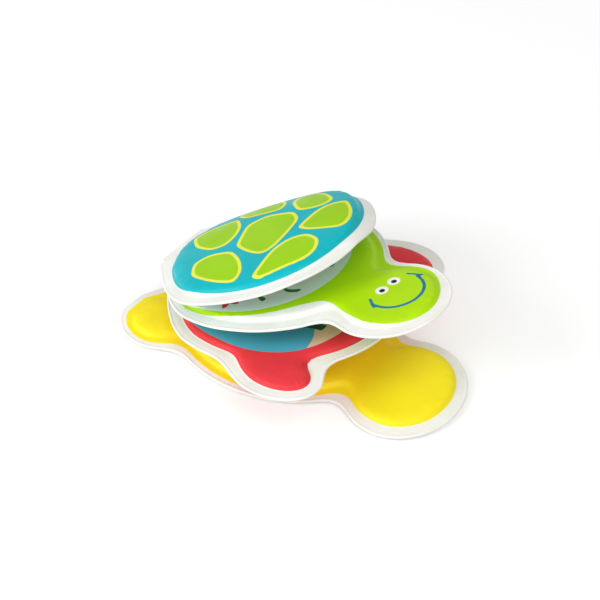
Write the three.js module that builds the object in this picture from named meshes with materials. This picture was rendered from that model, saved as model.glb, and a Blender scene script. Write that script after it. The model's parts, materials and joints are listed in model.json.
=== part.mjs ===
// A soft bath book in the shape of a turtle: four padded leaves bound at the tail, with a squeaker inside.
// Millimetres, +Z up, +X towards the head. The origin is on the flat underside, below the middle.
import * as THREE from 'three';

// Film, weld and foam
const FILM = 0.5;
const WELD_GAP = 0.3;
const FLANGE = 7;
const FOAM_CLEARANCE = 0.3;
const FOAM_EDGE_SHARE = 0.75;
const PAD_RISE = 2.6;
const SHELL_RISE = 3.2;
const SHELL_DOME = 2.4;
const SHOULDER_WIDTH = 7;
const DOME_WIDTH = 32;
const LOBE_BLEND = 13;

// Binding
const HINGE_BEHIND_ORIGIN = 70;
const LEAF_PITCH = 7.2;
const BINDING_PITCH = 3.6;
const BINDING_MARGIN = 26;
const MARGIN_BLEND = 16;
const BEND_START = 4.5;
const BEND_LENGTH = 22;
const HINGE_CLEARANCE = 0.9;
const TAB_LENGTH = 60;
const TAB_WIDTH = 30;
const TAB_BLEND = 5;
const TAIL_BOW = 0.3;
const TAPER_BLEND = 12;
const STRIP_WIDTH = 28;
const STRIP_FILM = 0.5;
const STRIP_FOOT = 2.5;
const STRIP_BULGE = 2;
const STRIP_CLEARANCE = 0.3;

// Curl of the top leaf, past a slanting line on the far side of its middle
const CURL_RADIUS = 80;
const CURL_START = 12;
const CURL_SLANT_DEGREES = 43;
const CURL_FADE_START = 6;
const CURL_FADE_LENGTH = 24;

// How far each leaf stands open above the one under it
const FLIPPER_LEAF_LIFT_DEGREES = 8.9;
const HEAD_LEAF_LIFT_DEGREES = 7.1;
const SHELL_COVER_LIFT_DEGREES = 7.1;

// Outlines, each measured forward from the hinge line and across the middle
const SHELL_LENGTH = 127.5;
const SHELL_WIDTH = 121;
const SHELL_TAPER_DEGREES = 41;
const HEAD_BODY_LENGTH = 133.5;
const HEAD_BODY_WIDTH = 111;
const HEAD_TAPER_DEGREES = 45;
const HEAD_MIDDLE = 146.5;
const HEAD_LENGTH = 60;
const HEAD_WIDTH = 61;
const FLIPPER_BODY_LENGTH = 139;
const FLIPPER_BODY_WIDTH = 118;
const FLIPPER_TAPER_DEGREES = 48;
const FLIPPER_MIDDLE = 109.5;
const FLIPPER_OFF_AXIS = 50.5;
const FLIPPER_LENGTH = 53;
const FLIPPER_WIDTH = 36;
const BACK_BODY_START = 3.5;
const BACK_BODY_LENGTH = 132;
const BACK_BODY_WIDTH = 114;
const BACK_HEAD_MIDDLE = 150;
const BACK_HEAD_LENGTH = 61;
const BACK_HEAD_WIDTH = 70;
const REAR_FLIPPER_MIDDLE = 21;
const REAR_FLIPPER_OFF_AXIS = 43;
const REAR_FLIPPER_LENGTH = 42;
const REAR_FLIPPER_WIDTH = 41;

// Squeaker
const SQUEAKER_WIDTH = 32;
const SQUEAKER_WALL = 0.8;
const SQUEAKER_TRAVEL = 2.2;
const SQUEAKER_SLIDE_GAP = 0.4;
const SQUEAKER_POCKET_GAP = 0.8;
const BASE_RIM_HEIGHT = 3.4;
const REED_TUBE_WIDTH = 8;
const REED_TUBE_BORE = 5;
const REED_TUBE_HEIGHT = 2.2;
const REED_LENGTH = 7;
const REED_WIDTH = 2.4;
const REED_THICKNESS = 0.3;
const SEAT_GAP = 0.3;

// Facets
const OUTLINE_POINTS = 54;
const ROUND_POINTS = 24;
const BAND_RINGS = [0.2, 0.45, 0.75];
const SHOULDER_RINGS = [0.35, 1];
const SHELL_DOME_RINGS = [0.75, 0.5, 0.36];
const PAGE_RINGS = [0.55];

const HALF_GAP = WELD_GAP / 2;
const FLANGE_HALF = HALF_GAP + FILM;
const BACK_COVER_MIDDLE = FLANGE_HALF + PAD_RISE;
const TOP_LEVEL = 3;
const SHELL_PAD_MIDDLE = (BINDING_MARGIN + SHELL_LENGTH - FLANGE) / 2;
const degrees = THREE.MathUtils.degToRad;

// The cut of the tail falls back a little from its middle to the sides of the binding tab.
function tailBow(y) {
  return TAIL_BOW * Math.min(2 * Math.abs(y) / TAB_WIDTH, 1) ** 2;
}

// A field is a signed distance in the plane of a leaf: below zero inside the outline.
function oval(middleX, middleY, length, width) {
  const a = length / 2;
  const b = width / 2;
  return (x, y) => {
    const near = Math.hypot((x - middleX) / a, (y - middleY) / b);
    const slope = Math.hypot((x - middleX) / (a * a), (y - middleY) / (b * b));
    return slope < 1e-9 ? -Math.min(a, b) : near * (near - 1) / slope;
  };
}

function bindingTab() {
  const halfLength = (TAB_LENGTH - HINGE_CLEARANCE) / 2;
  const middle = HINGE_CLEARANCE + halfLength;
  return (x, y) => {
    const overX = Math.abs(x - middle) - halfLength;
    const overY = Math.abs(y) - TAB_WIDTH / 2;
    return Math.hypot(Math.max(overX, 0), Math.max(overY, 0)) + Math.min(Math.max(overX, overY), 0);
  };
}

function blended(first, second, width) {
  return (x, y) => {
    const a = first(x, y);
    const b = second(x, y);
    const near = Math.max(width - Math.abs(a - b), 0) / width;
    return Math.min(a, b) - near * near * width / 4;
  };
}

// A body narrows to the corners of its binding tab along two straight sides.
function tapered(body, angleDegrees) {
  const across = Math.cos(degrees(angleDegrees));
  const along = Math.sin(degrees(angleDegrees));
  const side = (x, y) => across * (Math.abs(y) - TAB_WIDTH / 2) - along * (x - HINGE_CLEARANCE);
  const outside = blended((x, y) => -body(x, y), (x, y) => -side(x, y), TAPER_BLEND);
  return (x, y) => -outside(x, y);
}

// The outline of a leaf: its body and lobes run into each other, and the tail ends in a slight bow.
function leafOutline(body, lobes) {
  const withLobes = lobes.reduce((field, lobe) => blended(field, lobe, LOBE_BLEND), body);
  const withTab = blended(withLobes, bindingTab(), TAB_BLEND);
  return (x, y) => Math.max(withTab(x, y), HINGE_CLEARANCE + tailBow(y) - x);
}

// The outline of a pad lies a flange's width inside the leaf, and ends at the margin beside the binding.
function padOutline(field, margin) {
  const nearBinding = blended((x, y) => -field(x, y) - FLANGE, (x) => x - margin, MARGIN_BLEND);
  return (x, y) => -nearBinding(x, y);
}

function slopeOf(field, p) {
  const step = 0.05;
  const dx = field(p.x + step, p.y) - field(p.x - step, p.y);
  const dy = field(p.x, p.y + step) - field(p.x, p.y - step);
  return new THREE.Vector2(dx, dy).normalize();
}

// The outline is found along rays from the middle, then spaced evenly along its length.
function traced(field, middle) {
  const rays = 1440;
  const reach = 300;
  const dense = [];
  for (let i = 0; i <= rays; i++) {
    const direction = new THREE.Vector2(1, 0).rotateAround(new THREE.Vector2(), 2 * Math.PI * i / rays);
    let inside = 0;
    let outside = reach;
    for (let halving = 0; halving < 40; halving++) {
      const half = (inside + outside) / 2;
      const p = direction.clone().multiplyScalar(half).add(middle);
      if (field(p.x, p.y) < 0) inside = half;
      else outside = half;
    }
    dense.push(direction.multiplyScalar(inside).add(middle));
  }
  const along = [0];
  for (let i = 1; i <= rays; i++) along.push(along[i - 1] + dense[i].distanceTo(dense[i - 1]));
  const even = [];
  for (let i = 0, k = 0; i < OUTLINE_POINTS; i++) {
    const target = along[rays] * i / OUTLINE_POINTS;
    while (along[k + 1] < target) k++;
    even.push(dense[k].clone().lerp(dense[k + 1], (target - along[k]) / (along[k + 1] - along[k])));
  }
  return even;
}

// The points walk down the field, square to its lines, a share of the way from where they are to a level.
// After each step they ease towards the middle of their neighbours, so that none overtakes another.
function walked(field, points, level, share) {
  const steps = 12;
  const start = points.map((p) => field(p.x, p.y));
  let ring = points;
  for (let i = 1; i <= steps; i++) {
    const eased = ring.map((p, k) => {
      const between = ring.at(k - 1).clone().add(ring[(k + 1) % ring.length]).divideScalar(2);
      return p.clone().lerp(between, 0.5);
    });
    ring = eased.map((p, k) => {
      const target = THREE.MathUtils.lerp(start[k], level, share * i / steps);
      return p.addScaledVector(slopeOf(field, p), target - field(p.x, p.y));
    });
  }
  return ring;
}

function shrunk(points, middle, scale) {
  return points.map((p) => p.clone().sub(middle).multiplyScalar(scale).add(middle));
}

// The height of a pad over its weld: a round shoulder along the edge, and a low dome over the rest.
function crown(pad, shoulder, dome) {
  return (p) => {
    const depth = Math.max(-pad(p.x, p.y), 0);
    const edge = 1 - Math.min(depth / SHOULDER_WIDTH, 1);
    const rise = 1 - Math.min(depth / DOME_WIDTH, 1);
    return shoulder * Math.sqrt(1 - edge * edge) + dome * (1 - rise * rise);
  };
}

// Past a slanting line the far side of the top leaf curls down as round a cylinder. It fades at the binding.
function curl(p) {
  const slant = degrees(CURL_SLANT_DEGREES);
  const across = p.y * Math.cos(slant) - (p.x - SHELL_PAD_MIDDLE) * Math.sin(slant);
  const past = Math.max(across - CURL_START, 0);
  const fade = THREE.MathUtils.smoothstep(p.x, CURL_FADE_START, CURL_FADE_START + CURL_FADE_LENGTH);
  return fade * past * past / (2 * CURL_RADIUS);
}

// Beside the binding a leaf bends up from the thin spine to its own place in the stack of pads.
// A leaf at a lower level bends up less and curls less, so that the leaves lie in each other.
function bend(p, level) {
  const padStep = LEAF_PITCH - BINDING_PITCH;
  const climb = padStep * THREE.MathUtils.smoothstep(p.x, BEND_START, BEND_START + BEND_LENGTH);
  return level * (climb - curl(p) / TOP_LEVEL);
}

function raised(points, height) {
  return points.map((p) => new THREE.Vector3(p.x, p.y, height(p)));
}

// A closed body between an upper and a lower run of rings, from the rim inwards.
// The last rings are closed by flat faces, or joined by a wall where the body has a pocket.
function lofted(upper, lower, hasPocket) {
  const count = upper[0].length;
  const rings = [...upper, ...lower];
  const faces = [];
  const ringStart = (k) => k * count;
  const face = (corners, facesDown) => faces.push(...(facesDown ? corners.reverse() : corners));
  const strip = (outer, inner, facesDown) => {
    for (let i = 0; i < count; i++) {
      const next = (i + 1) % count;
      face([outer + i, outer + next, inner + next], facesDown);
      face([outer + i, inner + next, inner + i], facesDown);
    }
  };
  for (let k = 0; k + 1 < upper.length; k++) strip(ringStart(k), ringStart(k + 1), false);
  for (let k = upper.length; k + 1 < rings.length; k++) strip(ringStart(k), ringStart(k + 1), true);
  strip(ringStart(upper.length), ringStart(0), false);
  const upperLast = ringStart(upper.length - 1);
  const lowerLast = ringStart(rings.length - 1);
  if (hasPocket) {
    strip(upperLast, lowerLast, false);
  } else {
    const flat = upper[upper.length - 1].map((p) => new THREE.Vector2(p.x, p.y));
    for (const corners of THREE.ShapeUtils.triangulateShape(flat, [])) {
      face(corners.map((i) => upperLast + i), false);
      face(corners.map((i) => lowerLast + i), true);
    }
  }
  const geometry = new THREE.BufferGeometry().setFromPoints(rings.flat());
  geometry.setIndex(faces);
  geometry.computeVertexNormals();
  return geometry;
}

function piece(name, geometry, color, roughness) {
  const mesh = new THREE.Mesh(geometry, new THREE.MeshStandardMaterial({ color, roughness, metalness: 0 }));
  mesh.name = name;
  return mesh;
}

// The runs of points that a leaf is lofted on: its edge, its band, the weld, the shoulder and the dome.
function leafRuns(field, pad, middle, domeRings) {
  const edge = traced(field, middle);
  const band = BAND_RINGS.map((share) => walked(pad, edge, 0, share));
  const weld = walked(pad, edge, 0, 1);
  const shoulder = SHOULDER_RINGS.map((share) => walked(pad, edge, -share * SHOULDER_WIDTH, 1));
  const dome = domeRings.map((scale) => shrunk(shoulder[shoulder.length - 1], middle, scale));
  return { flange: [edge, ...band, weld], weld, pad: [...shoulder, ...dome] };
}

// One film of a leaf: flat along the weld, then up over the foam. Side is 1 for the front, -1 for the back.
function film(runs, level, over, side) {
  const inner = (p) => bend(p, level) + side * (HALF_GAP + over(p));
  const outer = (p) => bend(p, level) + side * (HALF_GAP + over(p) + FILM);
  const [high, low] = side > 0 ? [outer, inner] : [inner, outer];
  const rings = (height) => [...runs.flange, ...runs.pad].map((run) => raised(run, height));
  return lofted(rings(high), rings(low), false);
}

// The foam fills the pad up to a small clearance, round a pocket where there is one.
// Its edge starts part of the way up the first facet of the shoulder, where the pad is thick enough.
function foam(runs, level, middle, overFront, overBack, pocketRadius) {
  const [shoulder] = runs.pad;
  const edge = runs.weld.map((p, i) => p.clone().lerp(shoulder[i], FOAM_EDGE_SHARE));
  const pocket = shoulder.map((p) => p.clone().sub(middle).setLength(pocketRadius).add(middle));
  const pad = pocketRadius ? [...runs.pad.slice(0, -1), pocket] : runs.pad;
  const rings = (over, side) => {
    const height = (p) => bend(p, level) + side * (HALF_GAP + over(p) - FOAM_CLEARANCE);
    const rimHeight = (i) => {
      const weldBend = bend(runs.weld[i], level);
      const rimBend = THREE.MathUtils.lerp(weldBend, bend(shoulder[i], level), FOAM_EDGE_SHARE);
      return rimBend + side * (HALF_GAP + FOAM_EDGE_SHARE * over(shoulder[i]) - FOAM_CLEARANCE);
    };
    const rim = edge.map((p, i) => new THREE.Vector3(p.x, p.y, rimHeight(i)));
    return [rim, ...pad.map((run) => raised(run, height))];
  };
  return lofted(rings(overFront, 1), rings(overBack, -1), pocketRadius > 0);
}

function leaf(name, field, margin, middleX, color, level, rise, dome, domeRings, pocketRadius) {
  const group = new THREE.Group();
  const middle = new THREE.Vector2(middleX, 0);
  const pad = padOutline(field, margin);
  const runs = leafRuns(field, pad, middle, domeRings);
  const front = crown(pad, rise, dome);
  const back = crown(pad, PAD_RISE, 0);
  group.add(piece(`${name}_front_film`, film(runs, level, front, 1), color, 0.35));
  group.add(piece(`${name}_foam`, foam(runs, level, middle, front, back, pocketRadius), 0xf4f1e6, 0.95));
  group.add(piece(`${name}_back_film`, film(runs, level, back, -1), color, 0.35));
  return group;
}

// A strip of film folded round the tail, from the top of one leaf's weld to the underside of the next.
function hingeStrip(name) {
  const low = FLANGE_HALF + STRIP_CLEARANCE;
  const high = BINDING_PITCH - low;
  const shape = new THREE.Shape();
  shape.moveTo(STRIP_FOOT, low);
  shape.lineTo(0, low);
  shape.quadraticCurveTo(-STRIP_BULGE, low, -STRIP_BULGE, BINDING_PITCH / 2);
  shape.quadraticCurveTo(-STRIP_BULGE, high, 0, high);
  shape.lineTo(STRIP_FOOT, high);
  shape.lineTo(STRIP_FOOT, high - STRIP_FILM);
  shape.lineTo(0, high - STRIP_FILM);
  const innerBulge = STRIP_BULGE - STRIP_FILM;
  shape.quadraticCurveTo(-innerBulge, high - STRIP_FILM, -innerBulge, BINDING_PITCH / 2);
  shape.quadraticCurveTo(-innerBulge, low + STRIP_FILM, 0, low + STRIP_FILM);
  shape.lineTo(STRIP_FOOT, low + STRIP_FILM);
  shape.closePath();
  const along = { depth: STRIP_WIDTH, bevelEnabled: false, curveSegments: 5 };
  const geometry = new THREE.ExtrudeGeometry(shape, along);
  geometry.translate(0, 0, -STRIP_WIDTH / 2);
  geometry.rotateX(Math.PI / 2);
  return piece(name, geometry, 0xf0f0ec, 0.4);
}

// Squeaker: a cup with an air hole, a reed in a short tube, and a springy cap that slides over the cup.
function turned(profile) {
  const geometry = new THREE.LatheGeometry(profile.map(([r, z]) => new THREE.Vector2(r, z)), ROUND_POINTS);
  geometry.rotateX(Math.PI / 2);
  return geometry;
}

function squeaker(middleX) {
  const backInside = -HALF_GAP - PAD_RISE;
  const frontInside = HALF_GAP + SHELL_RISE + SHELL_DOME;
  const capRadius = SQUEAKER_WIDTH / 2;
  const capBore = capRadius - SQUEAKER_WALL;
  const baseRadius = capBore - SQUEAKER_SLIDE_GAP;
  const baseBore = baseRadius - SQUEAKER_WALL;
  const baseBottom = backInside + SEAT_GAP;
  const baseFloor = baseBottom + SQUEAKER_WALL;
  const rim = baseBottom + BASE_RIM_HEIGHT;
  const capTop = frontInside - 2 * SEAT_GAP;
  const capUnder = capTop - SQUEAKER_WALL;
  const skirtEnd = baseBottom + SQUEAKER_TRAVEL + SEAT_GAP;
  const hole = REED_TUBE_BORE / 2;
  const tubeFoot = baseFloor + SEAT_GAP;
  const tubeTop = tubeFoot + REED_TUBE_HEIGHT;
  const tubeRadius = REED_TUBE_WIDTH / 2;
  const base = turned([
    [hole, baseBottom], [baseRadius, baseBottom], [baseRadius, rim], [baseBore, rim], [baseBore, baseFloor],
    [hole, baseFloor], [hole, baseBottom],
  ]);
  const cap = turned([
    [0, capUnder], [capBore, capUnder], [capBore, skirtEnd], [capRadius, skirtEnd], [capRadius, capTop],
    [0, capTop],
  ]);
  const tube = turned([
    [hole, tubeFoot], [tubeRadius, tubeFoot], [tubeRadius, tubeTop], [hole, tubeTop], [hole, tubeFoot],
  ]);
  const reed = new THREE.BoxGeometry(REED_LENGTH, REED_WIDTH, REED_THICKNESS);
  reed.translate(0, 0, tubeTop + SEAT_GAP + REED_THICKNESS / 2);
  const group = new THREE.Group();
  group.position.set(middleX, 0, bend(new THREE.Vector2(middleX, 0), TOP_LEVEL));
  group.add(piece('squeaker_base', base, 0xe6e2d8, 0.5));
  group.add(piece('squeaker_cap', cap, 0xe6e2d8, 0.5));
  group.add(piece('squeaker_reed_tube', tube, 0xd8d8d8, 0.45));
  group.add(piece('squeaker_reed', reed, 0xb9c4cc, 0.3));
  return group;
}

// Leaves, from the table up. Each one turns about the hinge line above the leaf under it.
const shellMiddle = SHELL_LENGTH / 2;
const shellOutline = leafOutline(
  tapered(oval(shellMiddle, 0, SHELL_LENGTH, SHELL_WIDTH), SHELL_TAPER_DEGREES),
  [],
);
const headMiddle = HEAD_BODY_LENGTH / 2;
const headOutline = leafOutline(
  tapered(oval(headMiddle, 0, HEAD_BODY_LENGTH, HEAD_BODY_WIDTH), HEAD_TAPER_DEGREES),
  [oval(HEAD_MIDDLE, 0, HEAD_LENGTH, HEAD_WIDTH)],
);
const sides = [1, -1];
const flipperMiddle = FLIPPER_BODY_LENGTH / 2;
const flipperOutline = leafOutline(
  tapered(oval(flipperMiddle, 0, FLIPPER_BODY_LENGTH, FLIPPER_BODY_WIDTH), FLIPPER_TAPER_DEGREES),
  sides.map((side) => oval(FLIPPER_MIDDLE, side * FLIPPER_OFF_AXIS, FLIPPER_LENGTH, FLIPPER_WIDTH)),
);
const backMiddle = BACK_BODY_START + BACK_BODY_LENGTH / 2;
const rearFlippers = sides.map(
  (side) => oval(REAR_FLIPPER_MIDDLE, side * REAR_FLIPPER_OFF_AXIS, REAR_FLIPPER_LENGTH, REAR_FLIPPER_WIDTH),
);
const backOutline = leafOutline(
  oval(backMiddle, 0, BACK_BODY_LENGTH, BACK_BODY_WIDTH),
  [oval(BACK_HEAD_MIDDLE, 0, BACK_HEAD_LENGTH, BACK_HEAD_WIDTH), ...rearFlippers],
);

const pocket = SQUEAKER_WIDTH / 2 + SQUEAKER_POCKET_GAP;
const backCover = leaf('back_cover', backOutline, 0, backMiddle, 0xfeec28, 0, PAD_RISE, 0, [], 0);
const flipperLeaf = leaf(
  'flipper_leaf', flipperOutline, BINDING_MARGIN, flipperMiddle, 0xe43c46, 1, PAD_RISE, 0, PAGE_RINGS, 0,
);
const neckMiddle = (headMiddle + HEAD_MIDDLE) / 2;
const headLeaf = leaf(
  'head_leaf', headOutline, BINDING_MARGIN, neckMiddle, 0xafe10a, 2, PAD_RISE, 0, PAGE_RINGS, 0,
);
const shellCover = leaf(
  'shell_cover', shellOutline, BINDING_MARGIN, SHELL_PAD_MIDDLE, 0x19b9c3, TOP_LEVEL, SHELL_RISE, SHELL_DOME,
  SHELL_DOME_RINGS, pocket,
);

shellCover.add(squeaker(SHELL_PAD_MIDDLE));
headLeaf.add(hingeStrip('spine_strip_upper'));
flipperLeaf.add(hingeStrip('spine_strip_middle'));
backCover.add(hingeStrip('spine_strip_lower'));

function bound(above, below, lift) {
  above.position.z = BINDING_PITCH;
  above.rotation.y = -degrees(lift);
  below.add(above);
}

bound(shellCover, headLeaf, SHELL_COVER_LIFT_DEGREES);
bound(headLeaf, flipperLeaf, HEAD_LEAF_LIFT_DEGREES);
bound(flipperLeaf, backCover, FLIPPER_LEAF_LIFT_DEGREES);
backCover.position.set(-HINGE_BEHIND_ORIGIN, 0, BACK_COVER_MIDDLE);

const book = new THREE.Group();
book.add(backCover);

export default book;
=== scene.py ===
import json

import bmesh
import bpy
import numpy as np
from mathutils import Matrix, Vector
from mathutils.geometry import delaunay_2d_cdt


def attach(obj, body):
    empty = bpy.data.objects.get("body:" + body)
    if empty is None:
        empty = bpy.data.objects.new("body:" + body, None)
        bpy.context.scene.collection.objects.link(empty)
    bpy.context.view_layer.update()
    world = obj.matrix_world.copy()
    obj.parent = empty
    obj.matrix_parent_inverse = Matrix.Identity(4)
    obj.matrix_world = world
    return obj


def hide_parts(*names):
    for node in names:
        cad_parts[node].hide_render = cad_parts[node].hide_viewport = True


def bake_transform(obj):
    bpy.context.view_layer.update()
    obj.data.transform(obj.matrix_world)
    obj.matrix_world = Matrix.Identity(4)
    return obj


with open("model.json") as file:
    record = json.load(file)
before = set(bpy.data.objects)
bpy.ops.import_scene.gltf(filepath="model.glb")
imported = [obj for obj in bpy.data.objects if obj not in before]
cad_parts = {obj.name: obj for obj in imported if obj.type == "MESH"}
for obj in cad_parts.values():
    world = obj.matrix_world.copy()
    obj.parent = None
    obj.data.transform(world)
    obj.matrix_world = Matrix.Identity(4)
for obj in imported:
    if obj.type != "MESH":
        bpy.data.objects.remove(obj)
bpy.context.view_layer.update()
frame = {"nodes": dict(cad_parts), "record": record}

# Back cover
# The lowest leaf of the book, with the turtle's yellow rear flippers and chin. Two printed films lie over a sheet
# of foam, heat-welded to each other in a flat white flange along the whole edge. It rests on the table.
MM = 0.001
FILM = 0.62
CUT_ROUND, CUT_SHARE = 0.5, 0.12
SEAM = 0.06
FLANGE = 7.0
PAD_RISE = 2.6
PAD_PUFF = 0.2
PUFF_WIDTH = 25.0
FOAM_SHARE = 0.8
SHOULDER_WIDTH = 7.0
SHOULDER_FOOT, FOOT_SOFTNESS = 1.2, 0.3
DOME_WIDTH = 32.0
LOBE_BLEND = 13.0
HINGE_CLEARANCE = 0.9
TAB_LENGTH, TAB_WIDTH, TAB_BLEND = 60.0, 30.0, 5.0
TAIL_BOW, TAPER_BLEND = 0.3, 12.0
MARGIN_BLEND = 16.0
BEND, PAD_STEP = (4.5, 22.0), 3.6
CURL_MIDDLE, CURL_START, CURL_RADIUS = 73.25, 12.0, 80.0
CURL_SLANT = np.radians(43.0)
CURL_FADE, FREE_FLANGE = (6.0, 24.0), (12.0, 24.0)
FLANGE_WAVES = [(5, 0.16, 1.0), (9, 0.12, 2.3), (17, 0.06, 1.0)]
PUCKER_FOLDS = [(53, 1.0, 1.0), (71, 1.0, 3.0), (31, 0.8, 5.0)]
PUCKER_WIDTH, PUCKER_HEIGHT = 1.6, 0.07
SLACK_WIDTH, SLACK_HEIGHT, SLACK_X, SLACK_Y = 9.0, 0.1, 11.0, 13.0
CUT_BEAD, CUT_GROOVE, PAD_GROOVE = (0.1, 0.75, 0.35), (0.13, 1.6, 0.3), (0.05, -1.6, 0.5)
RAYS, RAY_REACH, HALVINGS = 2881, 300.0, 45
COLUMNS = 360
RIM_INSETS = [0.1, 0.25, 0.5, 0.8, 1.1, 1.4, 1.8]
BAND_SHARES = [0.14, 0.32, 0.5, 0.68, 0.84, 0.94, 1.0]
SHOULDER_DEPTHS = [0.12, 0.35, 0.7, 1.2, 1.8, 2.6, 3.4]
ROW_STEPS, ROW_EASE, RIM_EASE = 4, 0.3, 0.05
SLOPE_STEP, LEAST_SLOPE = 0.05, 0.25
GRID_X, GRID_Y = (10.0, 180.0), (-70.0, 70.0)
PAGE_SPACING, PAGE_ROW, PAGE_ROOM, WITHIN_HOLE = 1.4, 0.87, 0.8, 0.999
FOAM_ROW = len(RIM_INSETS) + len(BAND_SHARES) + 2


def eased(value, start, length):
    """A ramp from 0 to 1 with level ends: t squared times 3 less 2t, with t the share of the length that is passed."""
    t = np.clip((value - start) / length, 0.0, 1.0)
    return t * t * (3.0 - 2.0 * t)


def oval(x, y, middle_x, middle_y, length, width):
    """Distance to an oval, below zero inside. With k the point's reach in half axes: k (k - 1) over k's slope."""
    a, b = length / 2, width / 2
    u, v = x - middle_x, y - middle_y
    k = np.hypot(u / a, v / b)
    slope = np.maximum(np.hypot(u / a**2, v / b**2), 1e-9)
    return np.where(k < 1e-6, -min(a, b), k * (k - 1.0) / slope)


def joined(a, b, width):
    """The lower of two distances, rounded over where they lie less than a width apart."""
    near = np.maximum(width - np.abs(a - b), 0.0) / width
    return np.minimum(a, b) - near * near * width / 4


def binding_tab(x, y):
    """Distance to the straight tab that carries the leaf to the spine: a box from the hinge line forward."""
    half = (TAB_LENGTH - HINGE_CLEARANCE) / 2
    over_x = np.abs(x - HINGE_CLEARANCE - half) - half
    over_y = np.abs(y) - TAB_WIDTH / 2
    outside = np.hypot(np.maximum(over_x, 0.0), np.maximum(over_y, 0.0))
    return outside + np.minimum(np.maximum(over_x, over_y), 0.0)


def tapered(body, x, y, angle):
    """A body's distance, raised and rounded where two straight sides narrow it to the corners of its tab."""
    side = np.cos(angle) * (np.abs(y) - TAB_WIDTH / 2) - np.sin(angle) * (x - HINGE_CLEARANCE)
    return -joined(-body, -side, TAPER_BLEND)


def leaf_outline(body, lobes, taper=None):
    """The cut edge of a leaf as a distance: body, lobes and tab run into each other, and the tail is cut to a bow."""
    def outline(x, y):
        field = oval(x, y, *body)
        if taper is not None:
            field = tapered(field, x, y, np.radians(taper))
        for lobe in lobes:
            field = joined(field, oval(x, y, *lobe), LOBE_BLEND)
        field = joined(field, binding_tab(x, y), TAB_BLEND)
        bow = TAIL_BOW * np.minimum(2 * np.abs(y) / TAB_WIDTH, 1.0) ** 2
        return np.maximum(field, HINGE_CLEARANCE + bow - x)
    return outline


def pad_depth(outline, margin, x, y):
    """Depth inside the padded part: what lies a flange inside the edge and past the margin beside the binding."""
    return joined(-outline(x, y) - FLANGE, x - margin, MARGIN_BLEND)


def traced_edge(outline, middle_x):
    """The cut edge, found along rays from the middle by halving, then spaced evenly along its length."""
    turn = np.linspace(0.0, 2 * np.pi, RAYS)
    inside, outside = np.zeros_like(turn), np.full_like(turn, RAY_REACH)
    for _ in range(HALVINGS):
        half = (inside + outside) / 2
        within = outline(middle_x + half * np.cos(turn), half * np.sin(turn)) < 0
        inside, outside = np.where(within, half, inside), np.where(within, outside, half)
    x, y = middle_x + inside * np.cos(turn), inside * np.sin(turn)
    along = np.concatenate([[0.0], np.cumsum(np.hypot(np.diff(x), np.diff(y)))])
    even = along[-1] * np.arange(COLUMNS) / COLUMNS
    return np.interp(even, along, x), np.interp(even, along, y)


def page_triangles(outline, margin, ring_x, ring_y, hole=None):
    """Triangles over the level part of a leaf, inside its last row.

    Between the row and a staggered grid of points the plane is cut into the roundest triangles. A hole, given by
    its middle and radius, is left open and edged by a circle of as many points as the row has.
    """
    x, y = np.meshgrid(np.arange(*GRID_X, PAGE_SPACING), np.arange(*GRID_Y, PAGE_ROW * PAGE_SPACING))
    x = x + np.where(np.arange(len(x)) % 2, PAGE_SPACING / 2, 0.0)[:, None]
    inside = pad_depth(outline, margin, x, y) > SHOULDER_DEPTHS[-1] + PAGE_ROOM
    loops = [np.stack([ring_x, ring_y], -1)]
    if hole:
        middle_x, radius = hole
        inside &= np.hypot(x - middle_x, y) > radius + PAGE_ROOM
        turn = 2 * np.pi * np.arange(COLUMNS) / COLUMNS
        loops.append(np.stack([middle_x + radius * np.cos(turn), radius * np.sin(turn)], -1))
    points = np.concatenate(loops + [np.stack([x[inside], y[inside]], -1)])
    loop = np.arange(COLUMNS)
    edges = np.concatenate([np.stack([loop, np.roll(loop, -1)], -1) + COLUMNS * k for k in range(len(loops))])
    made = delaunay_2d_cdt([Vector(point) for point in points.tolist()], edges.tolist(), [], 1, 1e-5)
    source = np.array([ids[0] for ids in made[3]])
    faces = source[np.array(made[2])]
    corners = points[faces]
    one, two = corners[:, 1] - corners[:, 0], corners[:, 2] - corners[:, 0]
    faces = np.where((one[:, 0] * two[:, 1] < one[:, 1] * two[:, 0])[:, None], faces[:, ::-1], faces)
    if hole:
        centre = points[faces].mean(axis=1)
        faces = faces[np.hypot(centre[:, 0] - middle_x, centre[:, 1]) > radius * WITHIN_HOLE]
    return points[COLUMNS:], faces


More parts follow.
